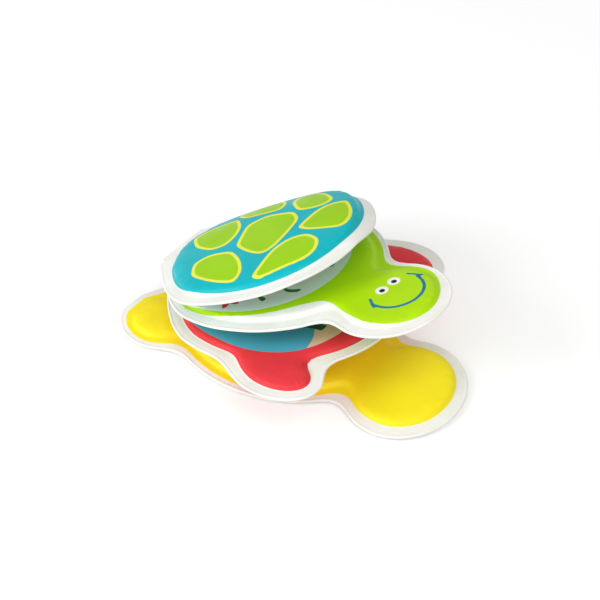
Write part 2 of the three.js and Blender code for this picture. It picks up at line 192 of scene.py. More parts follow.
def leaf_plan(outline, margin, middle_x, first_row=0, hole=None):
    """Points over a leaf, from the cut edge inwards, with the faces between them.

    Each row steps down the slope of the pad's depth to its own depth, easing towards its neighbours on the way.
    Inside the last one lies a grid of triangles. The rows before the first one are left out.
    """
    x, y = traced_edge(outline, middle_x)
    start = pad_depth(outline, margin, x, y)
    rim = start + RIM_INSETS[-1]
    targets = [start + inset for inset in RIM_INSETS]
    targets += [rim * (1 - share) for share in BAND_SHARES]
    targets += [np.full(COLUMNS, depth) for depth in SHOULDER_DEPTHS]
    rows = [(x, y)]
    for number, target in enumerate(targets):
        ease = ROW_EASE if number >= len(RIM_INSETS) else RIM_EASE
        for _ in range(ROW_STEPS):
            x = x + ease * ((np.roll(x, 1) + np.roll(x, -1)) / 2 - x)
            y = y + ease * ((np.roll(y, 1) + np.roll(y, -1)) / 2 - y)
            step = SLOPE_STEP
            gx = (pad_depth(outline, margin, x + step, y) - pad_depth(outline, margin, x - step, y)) / (2 * step)
            gy = (pad_depth(outline, margin, x, y + step) - pad_depth(outline, margin, x, y - step)) / (2 * step)
            reach = (target - pad_depth(outline, margin, x, y)) / np.maximum(gx**2 + gy**2, LEAST_SLOPE)
            x, y = x + gx * reach, y + gy * reach
        rows.append((x, y))
    rows = np.array(rows[first_row:])
    page, triangles = page_triangles(outline, margin, x, y, hole)
    xs = np.concatenate([rows[:, 0].reshape(-1), page[:, 0]])
    ys = np.concatenate([rows[:, 1].reshape(-1), page[:, 1]])
    index = np.arange(rows[:, 0].size).reshape(-1, COLUMNS)
    after = np.roll(index, -1, axis=1)
    strips = np.stack([index[:-1], after[:-1], after[1:], index[1:]], -1).reshape(-1, 4)
    nearest = np.argmin((page[:, :1] - x) ** 2 + (page[:, 1:] - y) ** 2, axis=1)
    column = np.concatenate([np.tile(np.arange(COLUMNS), len(rows)), nearest])
    return {
        "x": xs,
        "y": ys,
        "round": 2 * np.pi * column / COLUMNS,
        "inset": np.maximum(-outline(xs, ys), 0.0),
        "depth": pad_depth(outline, margin, xs, ys),
        "faces": strips.tolist() + (triangles + index[-1, 0]).tolist(),
        "hole": index[-1, 0] + COLUMNS + np.arange(COLUMNS) if hole else None,
    }


def crown(depth, shoulder, dome=0.0, puff=0.0):
    """Height of a film over its weld: a quarter-oval shoulder with a soft foot, a low dome, and a little stuffing."""
    past_foot = np.clip((depth + SHOULDER_FOOT) / (SHOULDER_WIDTH + SHOULDER_FOOT), 0.0, 1.0)
    side = np.sqrt(1 - (1 - past_foot) ** 2) * eased(past_foot, 0.0, FOOT_SOFTNESS)
    depth = np.maximum(depth, 0.0)
    rise = 1 - np.minimum(depth / DOME_WIDTH, 1.0)
    full = 1 - np.minimum(depth / PUFF_WIDTH, 1.0)
    return shoulder * side + dome * (1 - rise**2) + puff * (1 - full**2)


def waves(turn, phase, terms):
    """Sines round the edge, added up. A term gives their number, their height and their share of the phase."""
    return sum(height * np.sin(count * turn + shift * phase) for count, height, shift in terms)


def middle_height(plan, level, phase, sag):
    """Where the weld lies: bent up beside the binding, curled down on the far side, and waving in the free flange.

    The curl is a circle's drop, the square of the way past a slanting line over twice the radius. A leaf bends and
    curls by its level in the stack.
    """
    x, y, turn = plan["x"], plan["y"], plan["round"]
    climb = PAD_STEP * eased(x, *BEND)
    past = np.maximum(y * np.cos(CURL_SLANT) - (x - CURL_MIDDLE) * np.sin(CURL_SLANT) - CURL_START, 0.0)
    curl = eased(x, *CURL_FADE) * past**2 / (2 * CURL_RADIUS)
    free = (1 - np.clip(plan["inset"] / FLANGE, 0.0, 1.0)) * eased(x, *FREE_FLANGE)
    return level * (climb - curl / 3) + free * (waves(turn, phase, FLANGE_WAVES) - sag)


def puckers(plan, phase):
    """Small folds that run in from the weld over the shoulder, where film that lies flat is pulled over the foam.

    They rise and fade as a depth times e to the power of less itself. Past them lies a slow wave in x and y.
    """
    turn, depth = plan["round"], np.maximum(plan["depth"], 0.0)
    reach = (depth / PUCKER_WIDTH) * np.exp(1 - depth / PUCKER_WIDTH)
    slack = np.sin(plan["x"] / SLACK_X + phase) * np.cos(plan["y"] / SLACK_Y - phase)
    folds = PUCKER_HEIGHT * reach * waves(turn, phase, PUCKER_FOLDS)
    return folds + SLACK_HEIGHT * eased(depth, 0.0, SLACK_WIDTH) * slack


def ridge(distance, height, place, width):
    """A bell-shaped ridge: its height, falling with the square of the way from its place over its width."""
    return height * np.exp(-(((distance - place) / width) ** 2))


def weld_marks(plan):
    """Marks of the welding tool: a bead along the cut edge, a groove beside it, and a groove along the pad."""
    inset, outside_pad = plan["inset"], np.minimum(plan["depth"], 0.0)
    return ridge(inset, *CUT_BEAD) - ridge(inset, *CUT_GROOVE) - ridge(outside_pad, *PAD_GROOVE)


def standing(x, y, z, leaf):
    """Leaf millimetres as metres over the table: turned up by the leaf's lift about its hinge line."""
    hinge_x, hinge_z, lift = leaf
    across, up = np.cos(np.radians(lift)), np.sin(np.radians(lift))
    return np.stack([hinge_x + MM * (x * across - z * up), MM * y, hinge_z + MM * (x * up + z * across)], -1)


def closed_form(name, plan, leaf, high, low, marks):
    """A closed mesh between a high and a low surface over a plan, with a wall along the rim and round a hole."""
    x, y = plan["x"], plan["y"]
    count = len(x)
    points = np.concatenate([standing(x, y, high, leaf), standing(x, y, low, leaf)])
    rim = np.arange(COLUMNS)
    after = np.roll(rim, -1)
    walls = [np.stack([rim + count, after + count, after, rim], -1)]
    if plan["hole"] is not None:
        edge = plan["hole"]
        after = np.roll(edge, -1)
        walls.append(np.stack([edge, after, after + count, edge + count], -1))
    under = [[corner + count for corner in reversed(face)] for face in plan["faces"]]
    mesh = bpy.data.meshes.new(name)
    mesh.from_pydata(points.tolist(), [], plan["faces"] + under + np.concatenate(walls).tolist())
    for mark, values in marks.items():
        layer = mesh.attributes.new(mark, "FLOAT", "POINT")
        layer.data.foreach_set("value", np.tile(values, 2).astype(np.float32))
    mesh.polygons.foreach_set("use_smooth", np.ones(len(mesh.polygons), bool))
    made = bpy.data.objects.new(name, mesh)
    bpy.context.collection.objects.link(made)
    return made


def film_skin(name, plan, leaf, middle, over, side, marks):
    """One printed film: its inner face lies on the foam, its outer face a film's thickness away, round at the cut."""
    rounding = 1 - np.minimum(plan["inset"] / CUT_ROUND, 1.0)
    thickness = FILM * np.maximum(np.sqrt(1 - rounding**2), CUT_SHARE)
    inner = middle + side * (SEAM / 2 + over)
    outer = inner + side * (thickness + weld_marks(plan))
    high, low = (outer, inner) if side > 0 else (inner, outer)
    return closed_form(name, plan, leaf, high, low, marks)


def foam_sheet(name, plan, leaf, middle, over_front, over_back):
    """The die-cut foam between the films, a fifth thinner than the room between them."""
    return closed_form(name, plan, leaf, middle + FOAM_SHARE * over_front, middle - FOAM_SHARE * over_back, {})


def ink(red, green, blue):
    """A print colour from 0 to 255 as the linear colour that a shader takes."""
    share = np.array([red, green, blue]) / 255
    linear = np.where(share <= 0.04045, share / 12.92, ((share + 0.055) / 1.055) ** 2.4)
    return (*linear.tolist(), 1.0)


def blank_material(name):
    """A new material, with its node tree, its shader and the coordinates of the piece that wears it."""
    material = bpy.data.materials.new(name)
    material.use_nodes = True
    tree = material.node_tree
    return material, tree, tree.nodes["Principled BSDF"], tree.nodes.new("ShaderNodeTexCoord").outputs["Object"]


def noise(tree, place, scale, detail):
    """Random clouds from 0 to 1, a scale of them to the metre, with a detail of finer layers."""
    node = tree.nodes.new("ShaderNodeTexNoise")
    node.inputs["Scale"].default_value = scale
    node.inputs["Detail"].default_value = detail
    tree.links.new(place, node.inputs["Vector"])
    return node.outputs["Fac"]


def ranged(tree, value, source, target, kind="LINEAR"):
    """A value carried from a source range to a target range, and held at its ends."""
    node = tree.nodes.new("ShaderNodeMapRange")
    node.interpolation_type = kind
    for socket, number in zip(node.inputs[1:5], (*source, *target)):
        socket.default_value = number
    tree.links.new(value, node.inputs["Value"])
    return node.outputs["Result"]


def relief(tree, height, strength, distance, under=None):
    """A surface's normal, tilted by the slope of a height times a distance in metres, over a relief under it."""
    node = tree.nodes.new("ShaderNodeBump")
    node.inputs["Strength"].default_value = strength
    node.inputs["Distance"].default_value = distance
    tree.links.new(height, node.inputs["Height"])
    if under is not None:
        tree.links.new(under, node.inputs["Normal"])
    return node.outputs["Normal"]


WHITE_FILM, WHITE_CLOUD = ink(247, 246, 241), ink(239, 238, 232)
INK_EDGE = 0.12


def printed_film(name, layers):
    """Satin white film with inks laid over each other. An ink shows where its mark is below its level."""
    material, tree, shader, place = blank_material(name)

    def mixed(share, below, above, kind="MIX"):
        node = tree.nodes.new("ShaderNodeMix")
        node.data_type, node.blend_type = "RGBA", kind
        for value, socket in ((share, node.inputs[0]), (below, node.inputs[6]), (above, node.inputs[7])):
            if isinstance(value, (tuple, float)):
                socket.default_value = value
            else:
                tree.links.new(value, socket)
        return node.outputs[2]

    clouds = noise(tree, place, scale=55.0, detail=3.0)
    colour = mixed(ranged(tree, clouds, (0.35, 0.7), (0.0, 1.0)), WHITE_FILM, WHITE_CLOUD)
    for mark, level, colour_of_ink in layers:
        source = tree.nodes.new("ShaderNodeAttribute")
        source.attribute_name = mark
        covered = ranged(tree, source.outputs["Fac"], (level + INK_EDGE, level - INK_EDGE), (0.0, 1.0))
        colour = mixed(covered, colour, colour_of_ink)
    grain = ranged(tree, noise(tree, place, scale=38.0, detail=4.0), (0.3, 0.75), (0.93, 1.04))
    shade = tree.nodes.new("ShaderNodeCombineColor")
    for socket in shade.inputs:
        tree.links.new(grain, socket)
    colour = mixed(1.0, colour, shade.outputs[0], "MULTIPLY")
    tree.links.new(colour, shader.inputs["Base Color"])
    gloss = ranged(tree, noise(tree, place, scale=90.0, detail=5.0), (0.3, 0.75), (0.36, 0.52))
    tree.links.new(gloss, shader.inputs["Roughness"])
    skin = relief(tree, noise(tree, place, scale=1400.0, detail=2.0), strength=0.12, distance=0.0002)
    slack = relief(tree, noise(tree, place, scale=60.0, detail=3.0), strength=0.35, distance=0.0012, under=skin)
    tree.links.new(slack, shader.inputs["Normal"])
    shader.inputs["Specular IOR Level"].default_value = 0.18
    return material


def open_cell_foam():
    """Cream polyurethane foam: cells about a millimetre across in relief, with painted shade that darkens the colour
    in the pits of the cells.
    """
    material, tree, shader, place = blank_material("cream_foam")
    cells = tree.nodes.new("ShaderNodeTexVoronoi")
    cells.inputs["Scale"].default_value = 900.0
    tree.links.new(place, cells.inputs["Vector"])
    # Painted shade: the colour is darkest at the middle of each cell, where the relief sinks into a pit.
    tone = tree.nodes.new("ShaderNodeValToRGB")
    tone.color_ramp.elements[0].color = ink(206, 200, 180)
    tone.color_ramp.elements[1].color = ink(246, 242, 228)
    tone.color_ramp.elements[1].position = 0.5
    tree.links.new(cells.outputs["Distance"], tone.inputs["Fac"])
    tree.links.new(tone.outputs["Color"], shader.inputs["Base Color"])
    pits = relief(tree, cells.outputs["Distance"], strength=0.6, distance=0.0005)
    tree.links.new(pits, shader.inputs["Normal"])
    shader.inputs["Roughness"].default_value = 0.95
    return material


def fitted(piece, body, node, material):
    """Puts a piece in the place of its solid: it takes the material, moves with the body and hides the solid."""
    piece.data.materials.append(material)
    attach(piece, body)
    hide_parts(node)
    return piece


def discs(x, y, spots):
    """Distance to the nearest of several round spots, each a middle and a radius."""
    return np.min([np.hypot(x - across, y - along) - radius for across, along, radius in spots], axis=0)


def stars(x, y, spots):
    """Distance to the nearest of several five-armed stars: a circle whose radius swings five times round."""
    def star(across, along, radius):
        u, v = x - across, y - along
        return 0.8 * (np.hypot(u, v) - radius * (1 + 0.38 * np.cos(5 * np.arctan2(v, u))))
    return np.min([star(*spot) for spot in spots], axis=0)


RED_INK = ink(228, 58, 66)
PALE_BLUE_INK = ink(176, 220, 232)
YELLOW_INK = ink(254, 234, 34)
BACK_BODY = (69.5, 0.0, 132.0, 114.0)
CHIN = (150.0, 0.0, 61.0, 70.0)
REAR_FLIPPERS = [(21.0, 43.0, 42.0, 41.0), (21.0, -43.0, 42.0, 41.0)]
BACK_MARGIN, SPINE_X, BACK_HEIGHT = 0.0, -0.07, 0.00325
BACK_WELD = {"level": 0, "phase": 0.7, "sag": 1.1}
YELLOW_BORDER, CHIN_BORDER, CHIN_RAMP = 3.2, 2.8, (120.0, 30.0)
BACK_PAGE = (60.0, 0.0, 80.0, 76.0)
BUBBLE_LINE = 0.8

cream_foam = open_cell_foam()
back_outline = leaf_outline(BACK_BODY, [CHIN, *REAR_FLIPPERS])
back_leaf = (SPINE_X, BACK_HEIGHT, 0.0)
back_plan = leaf_plan(back_outline, BACK_MARGIN, BACK_BODY[0])
back_middle = middle_height(back_plan, **BACK_WELD)
x, y = back_plan["x"], back_plan["y"]
back_front = crown(back_plan["depth"], PAD_RISE, puff=PAD_PUFF) + puckers(back_plan, phase=0.4)
back_under = crown(back_plan["depth"], PAD_RISE)
yellow_print = YELLOW_BORDER + CHIN_BORDER * eased(x, *CHIN_RAMP) - back_plan["inset"]
back_marks = {
    "yellow_print": yellow_print,
    "page": oval(x, y, *BACK_PAGE),
    "stars": stars(x, y, [(48, -18, 7), (88, 14, 8.5), (58, 20, 5.5)]),
    "bubbles": np.abs(discs(x, y, [(80, -18, 5), (92, -12, 3), (40, 8, 4)])) - BUBBLE_LINE,
}
fitted(
    film_skin("back_cover_front_skin", back_plan, back_leaf, back_middle, back_front, 1, back_marks),
    "back_cover", "back_cover_front_film",
    printed_film("yellow_print_front", [
        ("yellow_print", 0.0, YELLOW_INK),
        ("page", 0.0, PALE_BLUE_INK),
        ("stars", 0.0, RED_INK),
        ("bubbles", 0.0, ink(250, 252, 250)),
    ]),
)
fitted(
    film_skin("back_cover_back_skin", back_plan, back_leaf, back_middle, back_under, -1,
              {"yellow_print": yellow_print}),
    "back_cover", "back_cover_back_film",
    printed_film("yellow_print_under", [("yellow_print", 0.0, YELLOW_INK)]),
)
foam_plan = leaf_plan(back_outline, BACK_MARGIN, BACK_BODY[0], FOAM_ROW)
back_foam = foam_sheet(
    "back_cover_pad", foam_plan, back_leaf, middle_height(foam_plan, **BACK_WELD),
    crown(foam_plan["depth"], PAD_RISE, puff=PAD_PUFF), crown(foam_plan["depth"], PAD_RISE),
)
fitted(back_foam, "back_cover", "back_cover_foam", cream_foam)

# Flipper leaf
# The second leaf, with the front flippers at its sides. Welded film over foam like the back cover, bent up beside
# the binding to clear the pad under it. Its page shows water over a sand bank.
BINDING_MARGIN = 26.0
FLIPPER_BODY = (69.5, 0.0, 139.0, 118.0)
FRONT_FLIPPERS = [(109.5, 50.5, 53.0, 36.0), (109.5, -50.5, 53.0, 36.0)]
FLIPPER_TAPER, FLIPPER_LIFT = 48.0, 8.9
FLIPPER_WELD = {"level": 1, "phase": 2.1, "sag": -0.3}
WATER_INK = ink(74, 166, 192)
RED_BORDER, RED_TAIL, TAIL_BLEND = 6.3, 15.0, 16.0
FLIPPER_PAGE = (69.5, 0.0, 98.0, 88.0)
WATER_MIDDLE, WATER_LENGTH, WATER_WIDTH, WATER_POWER, WATER_REACH = 71.0, 51.0, 49.0, 2.4, 50.0
SAND_EDGE, SAND_RIPPLE, SAND_PITCH, SAND_BOW = 106.0, 2.5, 5.5, 160.0
hinges = {joint["name"]: joint["pos_m"] for joint in frame["record"]["behaviour"]["joints"] if "pos_m" in joint}


def blades(x, y, roots, length, width):
    """Distance to the nearest of several waving blades of weed that grow back from their roots and taper."""
    def blade(across, along):
        grown = (across - x) / length
        off = np.abs(y - along - 2.2 * np.sin(4.5 * grown + along)) - width * (1 - 0.75 * np.clip(grown, 0.0, 1.0))
        return np.maximum(off, np.maximum(-grown, grown - 1.0) * length)
    return np.min([blade(*root) for root in roots], axis=0)


def hinged(joint, lift):
    """A leaf's place: the hinge line that the record gives, and how far the leaf stands open over the table."""
    return hinges[joint][0], hinges[joint][2], lift


flipper_outline = leaf_outline(FLIPPER_BODY, FRONT_FLIPPERS, FLIPPER_TAPER)
flipper_leaf = hinged("flipper_leaf_hinge", FLIPPER_LIFT)
flipper_plan = leaf_plan(flipper_outline, BINDING_MARGIN, FLIPPER_BODY[0])
flipper_middle = middle_height(flipper_plan, **FLIPPER_WELD)
x, y = flipper_plan["x"], flipper_plan["y"]
flipper_front = crown(flipper_plan["depth"], PAD_RISE, puff=PAD_PUFF) + puckers(flipper_plan, phase=1.3)
flipper_under = crown(flipper_plan["depth"], PAD_RISE, puff=PAD_PUFF) + puckers(flipper_plan, phase=2.9)
red_print = -joined(flipper_plan["inset"] - RED_BORDER, x - RED_TAIL, TAIL_BLEND)
water = (np.abs(x - WATER_MIDDLE) / WATER_LENGTH) ** WATER_POWER + (np.abs(y) / WATER_WIDTH) ** WATER_POWER
water_page = WATER_REACH * (water ** (1 / WATER_POWER) - 1.0)
sand_edge = SAND_EDGE + SAND_RIPPLE * np.sin(y / SAND_PITCH) + y * y / SAND_BOW
sand_bank = np.maximum(water_page, sand_edge - x)
weed = blades(x, y, [(112, -17), (110, -8), (114, 12), (110, 22)], length=24.0, width=2.4)
flipper_marks = {
    "red_print": red_print,
    "water": water_page,
    "sand": sand_bank,
    "weed": np.maximum(weed, water_page),
    "bubbles": np.abs(discs(x, y, [(60, -22, 6), (72, -14, 3.5), (50, 12, 5), (66, 24, 4)])) - BUBBLE_LINE,
}
fitted(
    film_skin("flipper_leaf_front_skin", flipper_plan, flipper_leaf, flipper_middle, flipper_front, 1, flipper_marks),
    "flipper_leaf", "flipper_leaf_front_film",
    printed_film("red_print_front", [
        ("red_print", 0.0, RED_INK),
        ("water", 0.0, WATER_INK),
        ("bubbles", 0.0, ink(214, 238, 242)),
        ("sand", 0.0, ink(226, 196, 164)),
        ("weed", 0.0, ink(30, 92, 62)),
    ]),
)
fitted(
    film_skin("flipper_leaf_back_skin", flipper_plan, flipper_leaf, flipper_middle, flipper_under, -1,
              {"red_print": red_print, "page": oval(x, y, *FLIPPER_PAGE),
               "bubbles": flipper_marks["bubbles"]}),
    "flipper_leaf", "flipper_leaf_back_film",
    printed_film("red_print_under", [
        ("red_print", 0.0, RED_INK),
        ("page", 0.0, ink(250, 226, 190)),
        ("bubbles", 0.0, WATER_INK),
    ]),
)
foam_plan = leaf_plan(flipper_outline, BINDING_MARGIN, FLIPPER_BODY[0], FOAM_ROW)
foam_half = crown(foam_plan["depth"], PAD_RISE, puff=PAD_PUFF)
flipper_foam = foam_sheet(
    "flipper_leaf_pad", foam_plan, flipper_leaf, middle_height(foam_plan, **FLIPPER_WELD), foam_half, foam_half,
)
fitted(flipper_foam, "flipper_leaf", "flipper_leaf_foam", cream_foam)

# Head leaf
# The third leaf carries the turtle's head, so that its face looks out from under the shell. Welded film over foam,
# with a wide white border at the neck. The face and the page are printed.
LIME_INK = ink(178, 226, 2)
LEAF_GREEN_INK = ink(40, 120, 62)
PALE_INK = ink(226, 236, 224)
HEAD_BODY, HEAD = (66.75, 0.0, 133.5, 111.0), (146.5, 0.0, 60.0, 61.0)
NECK = 106.6
HEAD_TAPER, HEAD_LIFT = 45.0, 16.0
HEAD_WELD = {"level": 2, "phase": 3.6, "sag": 0.4}
LIME_BODY, LIME_HEAD, NECK_BLEND = (60.0, 0.0, 115.0, 99.0), (147.0, 1.0, 47.0, 46.5), 29.0
LIME_BORDER, LIME_TAIL = 4.5, 20.0
FAR_BORDER, FAR_SIDE = 2.8, (-2.0, 18.0)
BROW_BORDER, BROW_RAMP = 3.2, (148.0, 22.0)
HEAD_PAGE, HEAD_UNDER_PAGE = (60.0, 0.0, 102.0, 95.0), (62.0, 0.0, 94.0, 84.0)
head_outline = leaf_outline(HEAD_BODY, [HEAD], HEAD_TAPER)
head_leaf = hinged("head_leaf_hinge", HEAD_LIFT)
head_plan = leaf_plan(head_outline, BINDING_MARGIN, NECK)
head_middle = middle_height(head_plan, **HEAD_WELD)
x, y = head_plan["x"], head_plan["y"]
head_front = crown(head_plan["depth"], PAD_RISE, puff=PAD_PUFF) + puckers(head_plan, phase=2.2)
head_under = crown(head_plan["depth"], PAD_RISE, puff=PAD_PUFF) + puckers(head_plan, phase=4.1)
lime_print = joined(oval(x, y, *LIME_BODY), oval(x, y, *LIME_HEAD), NECK_BLEND)
lime_print = np.maximum(lime_print, LIME_BORDER - head_plan["inset"])
far_print = FAR_BORDER + BROW_BORDER * eased(x, *BROW_RAMP) - head_plan["inset"]
lime_print = lime_print + eased(y, *FAR_SIDE) * (far_print - lime_print)
lime_print = -joined(-lime_print, x - LIME_TAIL, TAIL_BLEND)


def stroke(x, y, start, end, width):
    """Distance to a straight stroke with round ends: to the nearest point of its line, less half its width."""
    start, end = np.array(start), np.array(end)
    along = end - start
    share = np.clip(((x - start[0]) * along[0] + (y - start[1]) * along[1]) / (along @ along), 0.0, 1.0)
    return np.hypot(x - start[0] - share * along[0], y - start[1] - share * along[1]) - width / 2


def smile(x, y):
    """Distance to the mouth: an arc of a circle between two angles, with a short stroke across each end."""
    across, along, radius = MOUTH
    turn = np.degrees(np.arctan2(y - along, x - across))
    arc = np.abs(np.hypot(x - across, y - along) - radius) - MOUTH_HALF
    arc = np.where((turn > MOUTH_TURN[0]) & (turn < MOUTH_TURN[1]), arc, np.maximum(arc, NO_MOUTH))
    return np.min([arc] + [stroke(x, y, *corner, CORNER_WIDTH) for corner in MOUTH_CORNERS], axis=0)


MOUTH, MOUTH_HALF, MOUTH_TURN, NO_MOUTH = (146.9, 3.8, 14.5), 0.85, (-104.0, 78.0), 3.0
MOUTH_CORNERS, CORNER_WIDTH = [((144.3, 17.6), (151.4, 20.2)), ((140.2, -7.4), (146.2, -12.0))], 1.5
EYES = [(141.9, 9.6, 3.3), (141.2, 0.9, 3.3)]
PUPILS = [(142.2, 9.4, 1.55), (141.5, 0.7, 1.55)]
head_marks = {
    "lime_print": lime_print,
    "page": oval(x, y, *HEAD_PAGE),
    "stars": stars(x, y, [(72, -37, 5.0), (52, -20, 7), (84, 12, 7.5), (58, 24, 6)]),
    "weed": blades(x, y, [(102, -16), (104, 10), (100, 24), (90, -27)], length=15.0, width=1.6),
    "eyes": discs(x, y, EYES),
    "pupils": discs(x, y, PUPILS),
    "smile": smile(x, y),
}
fitted(
    film_skin("head_leaf_front_skin", head_plan, head_leaf, head_middle, head_front, 1, head_marks),
    "head_leaf", "head_leaf_front_film",
    printed_film("lime_print_front", [
        ("lime_print", 0.0, LIME_INK),
        ("page", 0.0, PALE_INK),
        ("stars", 0.0, RED_INK),
        ("weed", 0.0, LEAF_GREEN_INK),
        ("eyes", 0.0, ink(246, 246, 240)),
        ("pupils", 0.0, ink(22, 24, 22)),
        ("smile", 0.0, ink(22, 122, 150)),
    ]),
)
fitted(
    film_skin("head_leaf_back_skin", head_plan, head_leaf, head_middle, head_under, -1,
              {"lime_print": lime_print, "page": oval(x, y, *HEAD_UNDER_PAGE), "stars": head_marks["stars"]}),
    "head_leaf", "head_leaf_back_film",
    printed_film("lime_print_under", [
        ("lime_print", 0.0, LIME_INK),
        ("page", 0.0, PALE_BLUE_INK),
        ("stars", 0.0, ink(250, 226, 60)),
    ]),
)
foam_plan = leaf_plan(head_outline, BINDING_MARGIN, NECK, FOAM_ROW)
foam_half = crown(foam_plan["depth"], PAD_RISE, puff=PAD_PUFF)
head_foam = foam_sheet(
    "head_leaf_pad", foam_plan, head_leaf, middle_height(foam_plan, **HEAD_WELD), foam_half, foam_half,
)
fitted(head_foam, "head_leaf", "head_leaf_foam", cream_foam)

# Shell cover
# The top leaf, domed over a thicker foam that holds the squeaker. Teal film printed with the plates of a turtle's
# shell. Its far side has been handled most, and droops over the leaf under it.
SHELL_BODY = (63.75, 0.0, 127.5, 121.0)
SHELL_TAPER, SHELL_LIFT = 41.0, 23.1
SHELL_WELD = {"level": 3, "phase": 5.2, "sag": 0.3}
SHELL_RISE, SHELL_DOME = 3.2, 2.4
FLANGE_DROOP, DROOP_WIDTH, DROOP_POWER = 4.6, 9.0, 1.5
DROOP_FAR, DROOP_FORWARD = (4.0, 30.0), (34.0, 22.0)
POCKET_RADIUS = 16.8
TEAL_INK = ink(4, 182, 192)
TEAL_MIDDLE, TEAL_RADIUS, TEAL_BLEND = 67.6, 54.3, 8.0
TEAL_BORDER, TEAL_TAIL, TEAL_TAIL_BLEND = 6.6, 28.0, 11.0
FRONT_NARROWING, FRONT_RAMP = 2.0, (24.0, 34.0)
FAR_NARROWING, FAR_WIDENING, FAR_RAMP = 1.6, 2.2, (0.0, 40.0)
SHELL_PAGE = (66.0, 0.0, 84.0, 86.0)
shell_outline = leaf_outline(SHELL_BODY, [], SHELL_TAPER)
shell_leaf = hinged("shell_cover_hinge", SHELL_LIFT)
shell_plan = leaf_plan(shell_outline, BINDING_MARGIN, CURL_MIDDLE)
x, y = shell_plan["x"], shell_plan["y"]


def shell_middle_height(plan):
    """The cover's weld, with a flange that hangs lower on the far side: a power of the way out, eased in both ways."""
    droop = FLANGE_DROOP * np.clip(1 - plan["inset"] / DROOP_WIDTH, 0.0, 1.0) ** DROOP_POWER
    droop = droop * eased(plan["y"], *DROOP_FAR) * eased(plan["x"], *DROOP_FORWARD)
    return middle_height(plan, **SHELL_WELD) - droop


shell_middle = shell_middle_height(shell_plan)
shell_front = crown(shell_plan["depth"], SHELL_RISE, SHELL_DOME) + puckers(shell_plan, phase=3.7)
shell_under = crown(shell_plan["depth"], PAD_RISE, puff=PAD_PUFF) + puckers(shell_plan, phase=5.3)
far = eased(y, *FAR_RAMP)
teal_border = TEAL_BORDER - FRONT_NARROWING * eased(x, *FRONT_RAMP) - FAR_NARROWING * far
teal_disc = TEAL_RADIUS + FAR_WIDENING * far - np.hypot(x - TEAL_MIDDLE, y)
teal_disc = joined(teal_disc, shell_plan["inset"] - teal_border, TEAL_BLEND)
teal_print = -joined(teal_disc, x - TEAL_TAIL, TEAL_TAIL_BLEND)
PLATES = [
    [(58.0, 1.5), (62.5, 12.6), (77.0, 18.8), (85.5, 13.6), (89.6, 0.0), (91.3, -14.0), (89.0, -20.0), (81.5, -21.2),
     (67.3, -17.2)],
    [(96.8, -38.0), (91.3, -14.6), (93.6, -3.6), (100.2, 2.4), (109.6, 1.0), (115.0, -6.8), (115.0, -15.4),
     (101.2, -37.6)],
    [(53.4, -35.5), (57.3, -26.8), (68.7, -21.4), (80.2, -26.4), (89.0, -35.4), (90.2, -43.2), (83.0, -46.0),
     (71.0, -46.8), (60.3, -44.8)],
    [(31.3, -14.0), (34.3, -3.0), (45.5, 7.7), (55.7, 0.4), (60.2, -9.0), (60.5, -18.2), (55.0, -23.5), (42.0, -22.6)],
    [(39.3, 15.0), (41.0, 10.8), (50.5, 8.3), (59.2, 13.3), (66.7, 19.0), (64.2, 27.0), (54.0, 34.0), (44.0, 28.0)],
    [(66.8, 27.2), (78.3, 19.8), (85.1, 22.9), (90.0, 29.0), (90.0, 36.0), (80.2, 42.0), (67.0, 45.0), (62.5, 37.0)],
    [(91.0, 5.0), (88.8, 23.0), (91.3, 31.2), (98.0, 37.2), (108.0, 30.0), (113.4, 21.0), (113.6, 13.1), (105.4, 7.8),
     (98.5, 4.6)],
]
PLATE_SOFTNESS, PLATE_EDGE = 1.1, 1.7


def plate(x, y, corners):
    """Distance to a plate with soft corners: the smooth greatest of the distances to the lines of its sides."""
    corners = np.array(corners)
    sides = np.roll(corners, -1, axis=0) - corners
    area = np.sum(corners[:, 0] * np.roll(corners[:, 1], -1) - np.roll(corners[:, 0], -1) * corners[:, 1])
    outward = np.stack([sides[:, 1], -sides[:, 0]], -1) * np.sign(area)
    outward = outward / np.linalg.norm(outward, axis=1, keepdims=True)
    off = [nx * (x - cx) + ny * (y - cy) for (cx, cy), (nx, ny) in zip(corners, outward)]
    return PLATE_SOFTNESS * np.log(np.sum(np.exp(np.array(off) / PLATE_SOFTNESS), axis=0))


plates = np.min([plate(x, y, corners) for corners in PLATES], axis=0)
fitted(
    film_skin("shell_cover_front_skin", shell_plan, shell_leaf, shell_middle, shell_front, 1,
              {"teal_print": teal_print, "plates": plates}),
    "shell_cover", "shell_cover_front_film",
    printed_film("teal_print_front", [
        ("teal_print", 0.0, TEAL_INK),
        ("plates", 0.0, ink(236, 238, 74)),
        ("plates", -PLATE_EDGE, ink(158, 212, 4)),
    ]),
)
fitted(
    film_skin("shell_cover_back_skin", shell_plan, shell_leaf, shell_middle, shell_under, -1,
              {"teal_print": teal_print, "page": oval(x, y, *SHELL_PAGE),
               "stars": stars(x, y, [(50, -14, 7), (80, 16, 8), (62, 24, 5), (84, -20, 6)])}),
    "shell_cover", "shell_cover_back_film",
    printed_film("teal_print_under", [
        ("teal_print", 0.0, TEAL_INK),
        ("page", 0.0, PALE_INK),
        ("stars", 0.0, ink(250, 214, 60)),
    ]),
)
foam_plan = leaf_plan(shell_outline, BINDING_MARGIN, CURL_MIDDLE, FOAM_ROW, (CURL_MIDDLE, POCKET_RADIUS))
shell_foam = foam_sheet(
    "shell_cover_pad", foam_plan, shell_leaf, shell_middle_height(foam_plan),
    crown(foam_plan["depth"], SHELL_RISE, SHELL_DOME), crown(foam_plan["depth"], PAD_RISE, puff=PAD_PUFF),
)
fitted(shell_foam, "shell_cover", "shell_cover_foam", cream_foam)
